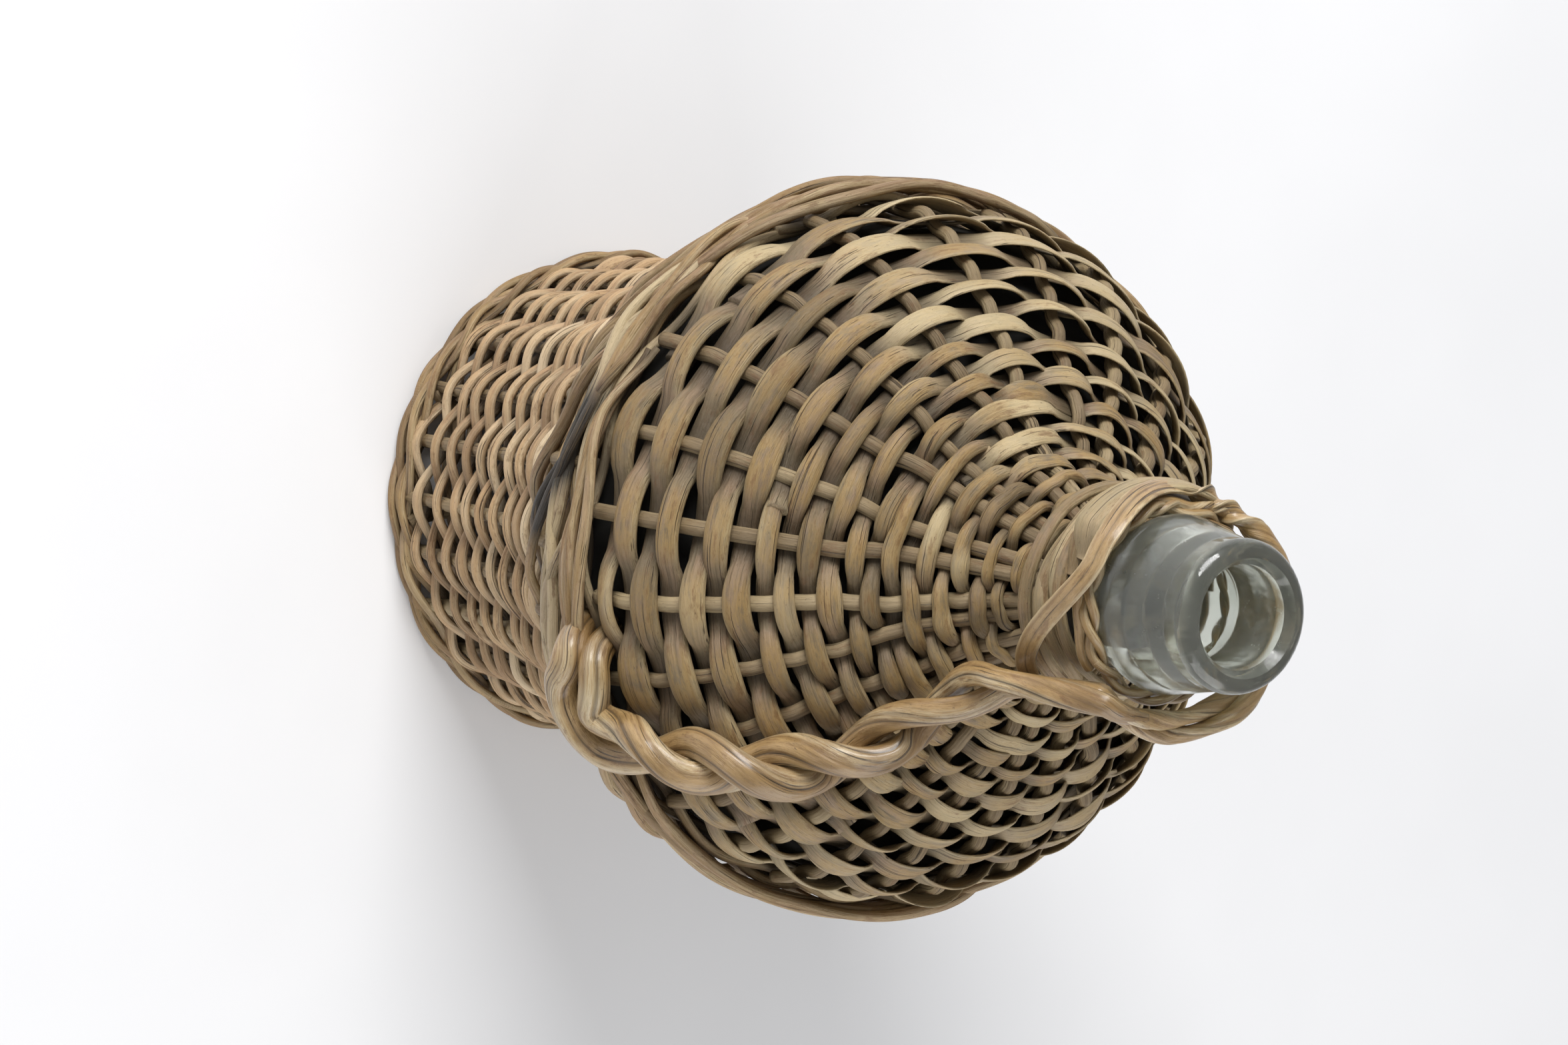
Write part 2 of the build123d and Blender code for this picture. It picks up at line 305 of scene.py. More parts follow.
class Strands:
    """One mesh of strands, with the coordinates along and across them that their material reads."""

    def __init__(self):
        self.points = []
        self.faces = []
        self.grain = []
        self.look = []
        self.soot = []
        self.count = 0

    def add(self, middle, side, outward, section, width, thick, rng,
            roll=0.0, wear=0.5, tone=0.0, soot=0.0, sunk=0.0):
        """A tube along a middle line; its section has one pair of coordinates for each corner."""
        steps = len(middle)
        corners = len(section)
        width, thick, roll, wear, tone, soot = (
            np.broadcast_to(np.asarray(value, float), (steps,))
            for value in (width, thick, roll, wear, tone, soot)
        )
        tangent = unit(np.gradient(middle, axis=0))
        side = unit(side - tangent * np.sum(side * tangent, axis=1, keepdims=True))
        outward = unit(outward - tangent * np.sum(outward * tangent, axis=1, keepdims=True))
        outward = unit(outward - side * np.sum(outward * side, axis=1, keepdims=True))
        turned = np.cos(roll)[:, None] * side + np.sin(roll)[:, None] * outward
        lifted = np.cos(roll)[:, None] * outward - np.sin(roll)[:, None] * side
        across = section[:, 0] * width[:, None]
        through = section[:, 1] * thick[:, None]
        place = middle[:, None] + turned[:, None] * across[..., None] + lifted[:, None] * through[..., None]
        run = np.append(0, np.cumsum(np.linalg.norm(np.diff(middle, axis=0), axis=1)))
        start = rng.uniform(0, 5000)
        grain = np.stack([across, through, np.broadcast_to(run[:, None] + start, across.shape)], axis=-1)
        edge = np.broadcast_to(np.abs(section[:, 0]) * 2, across.shape)
        # Exposure is how far out a strand lies; low values are painted as shade, and deeper crease corners get
        # less of it
        exposed = np.broadcast_to(wear[:, None] - sunk, across.shape)
        look = np.stack([exposed, np.broadcast_to(tone[:, None], across.shape), edge], axis=-1)
        self.points.append(place.reshape(-1, 3))
        self.grain.append(grain.reshape(-1, 3))
        self.look.append(look.reshape(-1, 3))
        self.soot.append(np.broadcast_to(soot[:, None], across.shape).reshape(-1))
        self.faces += self.skin(steps, corners, flipped=np.sum(np.cross(side, outward) * tangent) < 0)
        self.count += steps * corners

    def skin(self, steps, corners, flipped):
        """Faces of a closed tube whose first corner point is the next one to be added."""
        corner = np.arange(corners)
        following = (corner + 1) % corners
        start = self.count + np.arange(steps - 1)[:, None] * corners
        quads = np.stack([
            start + corner, start + following, start + following + corners, start + corner + corners,
        ], axis=-1)
        faces = quads.reshape(-1, 4).tolist()
        faces.append((self.count + corner[::-1]).tolist())
        faces.append((self.count + (steps - 1) * corners + corner).tolist())
        if flipped:
            faces = [face[::-1] for face in faces]
        return faces

    def piece(self, name, nodes, material):
        """The strands as one object that stands for CAD nodes."""
        mesh = bpy.data.meshes.new(name)
        mesh.from_pydata((np.vstack(self.points) * MM).tolist(), [], self.faces)
        for attribute, kind, values in (
            ("grain", "FLOAT_VECTOR", self.grain),
            ("look", "FLOAT_VECTOR", self.look),
            ("soot", "FLOAT", self.soot),
        ):
            layer = mesh.attributes.new(attribute, kind, "POINT")
            field = "vector" if kind == "FLOAT_VECTOR" else "value"
            layer.data.foreach_set(field, np.concatenate(values).astype(np.float32).ravel())
        mesh.shade_smooth()
        mesh.materials.append(material)
        obj = bpy.data.objects.new(name, mesh)
        bpy.context.scene.collection.objects.link(obj)
        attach(obj, "root")
        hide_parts(*nodes)


# ---------------------------------------------------------------- materials

class Shader:
    """A new node material, with short calls for the nodes that the strands need."""

    def __init__(self, name):
        self.material = bpy.data.materials.new(name)
        self.material.use_nodes = True
        self.tree = self.material.node_tree
        self.surface = self.tree.nodes["Principled BSDF"]

    def node(self, kind, **settings):
        made = self.tree.nodes.new(kind)
        for setting, value in settings.items():
            setattr(made, setting, value)
        return made

    def join(self, source, target):
        self.tree.links.new(source, target)

    def attribute(self, name):
        return self.node("ShaderNodeAttribute", attribute_name=name)

    def noise(self, vector, scale, detail=4.0, roughness=0.55):
        """Noise stretched by a scale for each of the three directions."""
        stretch = self.node("ShaderNodeMapping")
        stretch.inputs["Scale"].default_value = scale
        self.join(vector, stretch.inputs["Vector"])
        made = self.node("ShaderNodeTexNoise")
        made.inputs["Scale"].default_value = 1.0
        made.inputs["Detail"].default_value = detail
        made.inputs["Roughness"].default_value = roughness
        self.join(stretch.outputs["Vector"], made.inputs["Vector"])
        return made.outputs["Fac"]

    def spread(self, value, low, high, to_low=0.0, to_high=1.0):
        """A value from low to high, brought smoothly to the other range."""
        made = self.node("ShaderNodeMapRange", interpolation_type="SMOOTHSTEP")
        for socket, number in (("From Min", low), ("From Max", high), ("To Min", to_low), ("To Max", to_high)):
            made.inputs[socket].default_value = number
        self.join(value, made.inputs["Value"])
        return made.outputs["Result"]

    def maths(self, operation, first, second):
        made = self.node("ShaderNodeMath", operation=operation)
        for socket, value in zip(made.inputs, (first, second)):
            if isinstance(value, (int, float)):
                socket.default_value = value
            else:
                self.join(value, socket)
        return made.outputs["Value"]

    def blend(self, share, first, second):
        """Colour mix; either colour is a node's output or a fixed colour."""
        made = self.node("ShaderNodeMix", data_type="RGBA", blend_type="MIX")
        if isinstance(share, (int, float)):
            made.inputs["Factor"].default_value = share
        else:
            self.join(share, made.inputs["Factor"])
        for socket, value in ((made.inputs[6], first), (made.inputs[7], second)):
            if isinstance(value, tuple):
                socket.default_value = (*value, 1)
            else:
                self.join(value, socket)
        return made.outputs[2]

    def bump(self, height, distance, strength, normal=None):
        made = self.node("ShaderNodeBump")
        made.inputs["Distance"].default_value = distance
        made.inputs["Strength"].default_value = strength
        self.join(height, made.inputs["Height"])
        if normal is not None:
            self.join(normal, made.inputs["Normal"])
        return made.outputs["Normal"]


def linear(code):
    """Linear colour of a six-digit screen colour."""
    channels = (int(code[place:place + 2], 16) / 255 for place in (0, 2, 4))
    return tuple(
        channel / 12.92 if channel < 0.04045 else ((channel + 0.055) / 1.055) ** 2.4 for channel in channels
    )


def wicker(name, shade, body, warm, crown, pale, rough, fibre=1.0, coat=0.0):
    """Peeled or split willow: fibres, golden crowns (polish and painted highlight), pale edges, cracks, grime
    and painted shade in recesses.
    """
    shader = Shader(name)
    grain = shader.attribute("grain").outputs["Vector"]
    look = shader.node("ShaderNodeSeparateXYZ")
    shader.join(shader.attribute("look").outputs["Vector"], look.inputs["Vector"])
    wear, tone, edge = look.outputs["X"], look.outputs["Y"], look.outputs["Z"]
    fibres = shader.noise(grain, (1.9 * fibre, 1.9 * fibre, 0.05), detail=7.0, roughness=0.68)
    hairs = shader.noise(grain, (6.5 * fibre, 6.5 * fibre, 0.25), detail=4.0, roughness=0.65)
    blotches = shader.noise(grain, (0.22, 0.22, 0.10), detail=4.0, roughness=0.6)
    stains = shader.noise(grain, (0.5, 0.5, 0.16), detail=5.0, roughness=0.7)
    pores = shader.noise(grain, (2.6, 2.6, 1.4), detail=2.0)

    # Golden crowns where strands lie furthest out: partly polish, partly painted highlight
    gold = shader.maths("MULTIPLY", shader.spread(wear, 0.55, 1.0), shader.spread(stains, 0.34, 0.58))
    rim = shader.maths("MULTIPLY", shader.spread(edge, 0.66, 0.98), shader.spread(hairs, 0.32, 0.58))
    crack = shader.spread(shader.noise(grain, (2.6 * fibre, 2.6 * fibre, 0.03), detail=2.0), 0.64, 0.71)
    colour = shader.blend(shader.spread(blotches, 0.44, 0.56), linear(body), linear(warm))
    for mask, strength, code in (
        (shader.spread(fibres, 0.58, 0.34), 0.62, shade),
        (gold, 0.75, crown),
        (rim, 0.45, pale),
        (shader.spread(tone, 0.0, 1.8), 0.6, pale),
        (shader.spread(tone, 0.0, -1.8), 0.6, shade),
        (shader.spread(stains, 0.54, 0.68), 0.6, STAIN_BROWN),
        (shader.spread(pores, 0.66, 0.76), 0.6, PORE_BROWN),
        (crack, 0.75, CRACK_BROWN),
        # Painted shade, with some grime, where strands lie deep in recesses and creases
        (shader.spread(wear, 0.55, -0.1), 0.82, GRIME_AND_SHADE_BROWN),
    ):
        colour = shader.blend(shader.maths("MULTIPLY", mask, strength), colour, linear(code))
    soot = shader.attribute("soot").outputs["Fac"]
    streaked = shader.maths("MULTIPLY", soot, shader.spread(fibres, 0.2, 0.5))
    colour = shader.blend(shader.maths("MINIMUM", streaked, 0.93), colour, linear(SOOT_BLACK))
    shader.join(colour, shader.surface.inputs["Base Color"])

    dull = shader.spread(fibres, 0.25, 0.75, rough + 0.14, rough - 0.08)
    shader.join(dull, shader.surface.inputs["Roughness"])
    shader.surface.inputs["Coat Weight"].default_value = coat
    shader.surface.inputs["Coat Roughness"].default_value = 0.2
    dented = shader.bump(blotches, 0.0014, 0.5)
    ridged = shader.bump(fibres, 0.0005, 0.75, dented)
    fine = shader.bump(hairs, 0.00018, 0.6, ridged)
    split = shader.node("ShaderNodeBump", invert=True)
    split.inputs["Distance"].default_value = 0.0006
    split.inputs["Strength"].default_value = 0.9
    shader.join(crack, split.inputs["Height"])
    shader.join(fine, split.inputs["Normal"])
    shader.join(split.outputs["Normal"], shader.surface.inputs["Normal"])
    return shader.material


def clear_glass():
    """Old clear glass: faintly grey-green and a little dusty at the neck; dull under the wicker, where its
    colour is painted dark as the shade inside the jacket.
    """
    shader = Shader("clear_glass")
    shader.surface.inputs["Transmission Weight"].default_value = 0.94
    shader.surface.inputs["IOR"].default_value = 1.5
    place = shader.node("ShaderNodeTexCoord").outputs["Object"]
    height = shader.node("ShaderNodeSeparateXYZ")
    shader.join(place, height.inputs["Vector"])
    # 1 under the wicker, where the glass is painted dark as shade and made rough
    covered = shader.spread(height.outputs["Z"], GLASS_CLEAR_FROM, GLASS_DARK_UNTIL)
    waves = shader.noise(place, (70.0, 70.0, 35.0), detail=3.0)
    dust = shader.noise(place, (260.0, 260.0, 260.0), detail=6.0, roughness=0.7)
    haze = shader.spread(dust, 0.35, 0.75, 0.08, 0.3)
    tint = shader.blend(shader.spread(waves, 0.3, 0.7), *(linear(code) for code in GLASS_COLOURS))
    shader.join(shader.blend(covered, tint, linear(GLASS_PAINTED_SHADE)), shader.surface.inputs["Base Color"])
    rough = shader.maths("MAXIMUM", haze, shader.maths("MULTIPLY", covered, 0.9))
    shader.join(rough, shader.surface.inputs["Roughness"])
    shader.join(shader.bump(waves, 0.002, 0.3), shader.surface.inputs["Normal"])
    return shader.material


def plain(name, colour, rough):
    """Matt surface with a very faint unevenness, for the floor."""
    shader = Shader(name)
    place = shader.node("ShaderNodeTexCoord").outputs["Object"]
    cloud = shader.noise(place, (9.0, 9.0, 9.0), detail=3.0)
    shade = tuple(channel * 0.97 for channel in colour)
    clouded = shader.blend(shader.spread(cloud, 0.3, 0.7), shade, colour)
    shader.join(clouded, shader.surface.inputs["Base Color"])
    shader.surface.inputs["Roughness"].default_value = rough
    return shader.material


# ---------------------------------------------------------------- woven jacket

def upper_stakes_at(stakes, length, wall):
    """Angles of the upper stakes at a length up the shoulder: near the neck they stand in pairs."""
    paired = ramp(length, wall.rows[PAIRED_FROM - 3], wall.rows[PAIRED_FROM])
    gap = np.diff(np.append(stakes, stakes[0] + TURN))
    moved = stakes.copy()
    moved[0::2] += gap[0::2] / 2 * PAIR_SQUEEZE * paired
    moved[1::2] -= gap[0::2] / 2 * PAIR_SQUEEZE * paired
    return moved


def lower_side(stake, row):
    """1 where a lower weaver passes in front of a stake and -1 where it passes behind."""
    return 1 - 2 * ((stake + row) % 2)


def upper_side(stake, row):
    """The same for an upper weaver, which takes two stakes at a time near the neck."""
    step = stake // 2 if row >= PAIRED_FROM else stake
    return 1 - 2 * ((step + row) % 2)


def thinness(angle):
    """0 where the shoulder's strips lie thick and flat, 1 where they are thin ribbons."""
    away = np.abs((angle - FACING + math.pi) % TURN - math.pi)
    return ramp(away, FLAT_UNTIL, RIBBONS_FROM)


def woven_row(strands, wall, length, row, stakes, side_of, weave, section, width, rng, thin=None):
    """One weaver at a length up the wall, with its two ends lapped behind a stake."""
    count = len(stakes)
    start = int(rng.integers(count))
    if side_of(start, row) > 0:
        start += 1 if side_of(start + 1, row) < 0 else 2
    lap = rng.uniform(0.3, 1.2)
    place = np.linspace(-lap / 2, count + lap / 2, int((count + lap) * STEPS)) + 1
    index = start - 1 + np.arange(count + 4)
    around = stakes[index % count] + TURN * (index // count)
    angle = np.interp(place, np.arange(count + 4), around)
    sides = np.array([side_of(each % count, row) for each in index], float)
    swing = eased(sides * (1 + rng.normal(0, 0.08, count + 4)), place)
    swing = np.sign(swing) * np.abs(swing) ** weave.plunge
    lapped = ramp(place, count + 0.6, count + 1.4) - ramp(place, 1.4, 0.6)
    thinned = thin(angle) if thin else np.zeros_like(angle)
    crossing = 1 - np.abs(swing)
    uneven = eased(1 + rng.normal(0, weave.spread / 2, count + 4), place)
    broad = 1 + wobble(rng, angle, 0.05) + 0.2 * thinned
    width = width * broad * (1 - weave.crowd * crossing) * uneven
    thick = weave.thick * (1 - 0.7 * thinned)
    depth = weave.stake_depth - weave.swing * swing * (1 - 0.1 * thinned) - 0.4 * thick * lapped
    length = length + wobble(rng, angle, weave.wander) + 0.2 * width * lapped
    length = length + eased(rng.normal(0, weave.jitter, count + 4), place)
    roll = eased(rng.normal(0, weave.roll, count + 4), place) + 0.3 * thinned * (1 + wobble(rng, angle, 0.4))
    tone = rng.normal(0, 0.6) + wobble(rng, angle, 0.35)
    tone = tone + eased(rng.normal(0, 0.5, count + 4), place) + thinned
    middle, along, outward = wall.lay(length, depth, angle)
    # Painted light: a weaver is lighter where it passes in front of a stake and darker, as painted shade, where
    # it dives behind one
    strands.add(middle, along, outward, section, width, thick, rng, roll=roll, wear=(1 + swing) / 2, tone=tone)


def lower_rows(wall, first_row, stakes, material):
    """Round rods woven through the lower stakes."""
    section = round_section(10)
    for number, node in enumerate(LOWER_ROWS):
        rng = np.random.default_rng(100 + number)
        row = first_row + number
        strands = Strands()
        width = LOWER_WEAVE.width * rng.uniform(0.86, 1.14)
        woven_row(strands, wall, wall.rows[row], row, stakes, lower_side, LOWER_WEAVE, section, width, rng)
        strands.piece(f"{node}_rod", [node], material)


def upper_rows(wall, stakes, material):
    """Split strips woven through the shoulder's stakes."""
    section = split_section(16)
    pitch = np.gradient(wall.rows)
    for number, node in enumerate(UPPER_ROWS):
        rng = np.random.default_rng(200 + number)
        strands = Strands()
        length = wall.rows[number]
        width = STRIP_COVER * pitch[number] * rng.uniform(0.9, 1.08)
        placed = upper_stakes_at(stakes, length, wall)
        woven_row(strands, wall, length, number, placed, upper_side, UPPER_WEAVE, section, width, rng,
                  thin=thinness)
        strands.piece(f"{node}_strip", [node], material)


def neck_rows(wall, stakes, material):
    """Narrow rows round the neck, from the last shoulder row up."""
    section = split_section(12)
    strands = Strands()
    corners = ring_section("neck_weavers")
    heights = np.unique(np.round(corners[:, 1], 1))
    low, high = heights[0] + NECK_MARGIN, heights[-1] - NECK_MARGIN
    for number, height in enumerate(np.linspace(low, high, NECK_ROWS)):
        rng = np.random.default_rng(240 + number)
        length = wall.length_at(height)
        placed = upper_stakes_at(stakes, length, wall)
        row = len(UPPER_ROWS) + number
        woven_row(strands, wall, length, row, placed, upper_side, NECK_WEAVE, section, NECK_WEAVE.width, rng)
    strands.piece("neck_weavers_strips", ["neck_weavers"], material)


def stake_rods(name, node, wall, rows, angles_at, side_of, weave, start, end, material):
    """Upright stakes, pushed in by the weavers that pass in front of them and out by the others."""
    strands = Strands()
    section = round_section(12)
    length = np.arange(start, end, 1.2)
    rows = np.asarray(rows)
    place = np.interp(length, wall.rows[rows], np.arange(len(rows)))
    angles = np.array([angles_at(each) for each in length])
    for stake in range(angles.shape[1]):
        rng = np.random.default_rng(1000 + stake)
        sides = np.array([side_of(stake, row) for row in rows], float)
        depth = weave.stake_depth + weave.stake_sway * eased(sides, place)
        angle = angles[:, stake] + rng.normal(0, 0.004)
        size = weave.stake_size * rng.uniform(0.9, 1.1)
        middle, _, outward = wall.lay(length, depth, angle)
        sideways = np.stack([-np.sin(angle), np.cos(angle), np.zeros_like(angle)], axis=-1)
        tone = rng.normal(0, 0.5) + wobble(rng, length / 25, 0.3)
        strands.add(middle, sideways, outward, section, size, size, rng, wear=0.55, tone=tone)
    strands.piece(name, [node], material)


def stained(angle, length, wall):
    """The dark stain on the strands at one place of the border."""
    away = (angle - STAIN_ANGLE + math.pi) % TURN - math.pi
    height = np.interp(length, wall.length, wall.face[:, 1])
    centre = STAIN_HEIGHT - STAIN_SLOPE * np.degrees(away)
    return STAIN_STRENGTH * np.exp(-(away / STAIN_REACH) ** 4 - ((height - centre) / STAIN_HALF) ** 4)


def border_strand(strands, wall, number, low, high, section):
    """A rod that rises out of the lower weave, turns along the rim and tucks in behind the others."""
    rng = np.random.default_rng(600 + number)
    share = np.linspace(0, 1, 100)
    start = TURN * (number + rng.uniform(-0.45, 0.45)) / BORDER_STRANDS
    reach = math.radians(rng.uniform(*BORDER_REACH))
    angle = start - reach * share
    level = high - (rng.uniform(-3.0, 4.0) if number % 2 else rng.uniform(4.0, 13.0))
    rise = ramp(share, -0.06, rng.uniform(0.36, 0.52))
    length = low + (level - low) * rise + wobble(rng, angle * 3, 0.9)
    covered = ramp(share, 0.12, 0.0) + ramp(share, 0.86, 1.0)
    layer = rng.uniform(0.0, 1.7)
    depth = 0.2 + layer + 3.8 * covered + wobble(rng, angle * 4, 0.6)
    size = rng.uniform(*BORDER_SIZE)
    width = size * (1 + wobble(rng, angle * 3, 0.09)) * (1 - 0.35 * ramp(share, 0.7, 1.0))
    tone = rng.normal(-0.1, 0.7) + wobble(rng, angle * 3, 0.4)
    # Painted shade: rods lying deeper in the border, and the ends tucked under others, are darker
    wear = 0.9 - 0.32 * layer - 0.7 * covered
    middle, along, outward = wall.lay(length, depth, angle)
    strands.add(middle, along, outward, section, width, 0.95 * width, rng, wear=wear, tone=tone,
                soot=stained(angle, length, wall), roll=wobble(rng, angle * 2, 0.5))


def border(wall, first_row, stakes, material):
    """The rolled border: rods laid over each other along the rim, on the woven rows that carry them."""
    section = round_section(12)
    low = wall.rows[first_row] - 3.5
    high = wall.rows[-1] + 3.2
    for number, node in enumerate(BORDER_RINGS):
        rng = np.random.default_rng(300 + number)
        strands = Strands()
        row = first_row + number
        for half in (-0.25, 0.25):
            length = wall.rows[row] + half * (wall.rows[-1] - wall.rows[-2])
            woven_row(strands, wall, length, int(2 * row + 2 * half), stakes, lower_side, BORDER_WEAVE, section,
                      BORDER_ROD, rng)
        for strand in range(number, BORDER_STRANDS, len(BORDER_RINGS)):
            border_strand(strands, wall, strand, low, high, section)
        strands.piece(f"{node}_rods", [node], material)


def foot(wall, stakes, material):
    """Loosely twisted rods that finish the lower edge, with a woven row close above each."""
    section = round_section(10)
    gap = wall.rows[1] - wall.rows[0]
    for number, node in enumerate(FOOT_RINGS):
        rng = np.random.default_rng(340 + number)
        strands = Strands()
        radius, height = ring_section(node).mean(axis=0)
        size = (height - ring_section(node)[:, 1].min()) * 1.3
        for strand in range(2):
            angle = np.linspace(0, TURN + 0.1, 620) + rng.uniform(0, TURN)
            turn = FOOT_TURNS * angle + math.pi * strand + wobble(rng, angle, 0.7)
            lift = (0.55 + number * 0.7) * np.sin(turn) + number * (1.0 + wobble(rng, angle, 0.9))
            out = (0.9 + 0.3 * number) * np.cos(turn) - 0.5 + 0.4 * wobble(rng, angle, 1.0)
            middle, upright, radial = around_axis(angle, radius + out, height + lift)
            # Painted light: each rod is lighter on its outer side and darker, as painted shade, on its inner
            # side
            strands.add(middle, upright, radial, section, size * rng.uniform(0.85, 1.1), size * 0.9, rng,
                        wear=0.6 + 0.3 * np.cos(turn), tone=rng.normal(-0.3, 0.5) + wobble(rng, angle, 0.4))
        length = wall.rows[0] + (0.25 + 0.4 * number) * gap
        woven_row(strands, wall, length, number, stakes, lower_side, LOWER_WEAVE, section,
                  LOWER_WEAVE.width, rng)
        strands.piece(f"{node}_twist", [node], material)


# ---------------------------------------------------------------- handle and neck

def smooth_route(route, count):
    """Evenly spaced points on a smooth curve through a route of radius, angle and height."""
    route = np.array(route, float)
    angle = np.radians(route[:, 1])
    knots = np.stack([route[:, 0] * np.cos(angle), route[:, 0] * np.sin(angle), route[:, 2]], axis=1)
    curve = bpy.data.curves.new("route", "CURVE")
    curve.dimensions = "3D"
    spline = curve.splines.new("NURBS")
    spline.points.add(len(knots) - 1)
    for point, knot in zip(spline.points, knots):
        point.co = (*knot, 1)
    spline.order_u = 3
    spline.use_endpoint_u = True
    curve.resolution_u = 24
    line = bpy.data.objects.new("route", curve)
    mesh = bpy.data.meshes.new_from_object(line)
    traced = np.array([vertex.co for vertex in mesh.vertices])
    bpy.data.objects.remove(line)
    bpy.data.curves.remove(curve)
    bpy.data.meshes.remove(mesh)
    run = np.append(0, np.cumsum(np.linalg.norm(np.diff(traced, axis=0), axis=1)))
    even = np.linspace(0, run[-1], count)
    return np.stack([np.interp(even, run, traced[:, axis]) for axis in range(3)], axis=1)


def across_route(middle):
    """Two square directions at each point of a route in an upright plane."""
    tangent = unit(np.gradient(middle, axis=0))
    first = unit(np.cross(np.array([0.0, 1.0, 0.0]), tangent))
    return first, np.cross(tangent, first)


def cylindrical(place):
    """Radius, angle in degrees and height of each point."""
    return np.stack([
        np.hypot(place[:, 0], place[:, 1]), np.degrees(np.arctan2(place[:, 1], place[:, 0])), place[:, 2]
    ], axis=1)


def handle(material):
    """Two soft rods twisted round each other, from the border up to the neck and on into its loop."""
    route = smooth_route(HANDLE_ROUTE, 240)
    run = np.append(0, np.cumsum(np.linalg.norm(np.diff(route, axis=0), axis=1)))
    root = np.sqrt(HALF_TURN ** 2 + 4 * HALF_TURN_GROWTH * np.maximum(run - FIRST_CROSSING, -30))
    half_turns = (root - HALF_TURN) / (2 * HALF_TURN_GROWTH)
    first, second = across_route(route)
    slim = 1 - 0.30 * ramp(run, 0.55 * run[-1], run[-1])
    offset = HANDLE_THICKNESS * 0.5 * slim
    last = np.searchsorted(run, run[-1] - HANDLE_LEAVES)
    for number, (node, end, joins) in enumerate((
        ("handle_rod_1", HANDLE_END_B, 9.0), ("handle_rod_2", HANDLE_END_A, 15.0),
    )):
        rng = np.random.default_rng(400 + number)
        turn = math.pi * (half_turns - 1 + number)
        winding = route + first * (offset * np.cos(turn))[:, None] + second * (offset * np.sin(turn))[:, None]
        knots = winding[np.searchsorted(run, joins):last:KNOT_STEP]
        onward = loop_strand(number)[0][:LOOP_SHARED:LOOP_KNOT]
        middle = smooth_route([*end, *cylindrical(np.vstack([knots, onward])).tolist()], HANDLE_STEPS)
        outward = unit(middle * np.array([1.0, 1.0, 0.0]))
        tangent = unit(np.gradient(middle, axis=0))
        side = unit(np.cross(outward, tangent))
        share = np.linspace(0, 1, len(middle))
        size = HANDLE_THICKNESS * (1 + wobble(rng, share * TURN * 2, 0.05)) * (1 - 0.34 * ramp(share, 0.5, 0.9))
        size = size * (1 - 0.42 * ramp(share, 0.13, 0.02)) * (1 - 0.3 * ramp(share, 0.96, 1))
        # Painted shade where the rod comes out from under the border: darker at its start
        wear = 0.95 - 0.8 * ramp(share, 0.1, 0.02)
        shaded = 1.9 * ramp(share, 0.17, 0.1) + 1.1 * ramp(share, 0.25, 0.42)
        section, sunk = creased_section(40, rng, 6)
        tone = 0.3 + wobble(rng, share * TURN * 3, 0.5) - shaded
        roll = 5.5 * share + wobble(rng, share * TURN, 0.5)
        strands = Strands()
        strands.add(middle, side, outward, section, size * 1.06, size * 0.98, rng,
                    roll=roll, wear=wear, tone=tone, sunk=1.1 * sunk)
        strands.piece(f"{node}_bark", [node], material)


def loop_route():
    """Angle, radius and height along the neck loop, from the two CAD rods that are twisted round it."""
    corners = np.vstack([points("neck_loop_rod_1"), points("neck_loop_rod_2")])
    around = np.arctan2(corners[:, 1], corners[:, 0]) % TURN
    slots = 36
    slot = (around / TURN * slots).astype(int)
    filled = [each for each in range(slots) if (slot == each).sum() > 20]
    middles = np.array([corners[slot == each].mean(axis=0) for each in filled])
    radius = np.hypot(middles[:, 0], middles[:, 1])
    angle = np.array([(each + 0.5) * TURN / slots for each in filled])
    wanted = np.linspace(math.radians(LOOP_START), math.radians(LOOP_END), LOOP_STEPS)
    return wanted, np.interp(wanted, angle, radius), np.interp(wanted, angle, middles[:, 2])


def loop_strand(number):
    """One of the loop's two rods: middle line, directions, width, thickness and how loose it lies."""
    angle, radius, height = loop_route()
    loose = ramp(angle, *np.radians(LOOP_LOOSE))
    drop = ramp(angle, *np.radians(LOOP_DROP))
    rng = np.random.default_rng(430 + number)
    size = LOOP_THICKNESS * (1 + wobble(rng, angle * 2, 0.06))
    turn = 2.4 * angle + LOOP_TURN + math.pi * number
    twisted_radius = radius - 0.3 + 0.46 * size * np.cos(turn)
    twisted_height = height + 0.46 * size * np.sin(turn)
    if number == 0:
        own_radius = FLAT_RADIUS + 2.0 * drop
        own_height = FLAT_HEIGHT + FLAT_RISE * ramp(angle, *np.radians(LOOP_RISE)) - FLAT_DROP * drop
        width = size * (1 + 0.25 * loose)
        thick = size * (0.9 - 0.5 * loose)
    else:
        own_radius = THIN_RADIUS + 0.4 * np.cos(9 * angle)
        own_height = THIN_HEIGHT - 2.5 * drop
        width = size * (1 - 0.45 * loose)
        thick = width * 0.9
    middle, upright, radial = around_axis(
        angle,
        twisted_radius + (own_radius - twisted_radius) * loose,
        twisted_height + (own_height - twisted_height) * loose,
    )
    return middle, upright, radial, width, thick, loose


def neck_loop(material):
    """The handle's rods go on round the neck; past the back one flattens and drops across the wrapping."""
    for number, node in enumerate(("neck_loop_rod_1", "neck_loop_rod_2")):
        rng = np.random.default_rng(440 + number)
        middle, upright, radial, width, thick, loose = loop_strand(number)
        share = np.linspace(0, 1, len(middle))
        begins = 0.6 + 0.4 * ramp(share, 0.0, 0.1)
        section, sunk = creased_section(34, rng, 5)
        strands = Strands()
        tone = wobble(rng, share * TURN * 2, 0.45)
        roll = (1 - loose) * 3.2 * share * TURN - 0.45 * loose
        strands.add(middle, upright, radial, section, width * begins, thick * begins, rng,
                    roll=roll, wear=0.9, tone=tone, sunk=sunk)
        strands.piece(f"{node}_bark", [node], material)


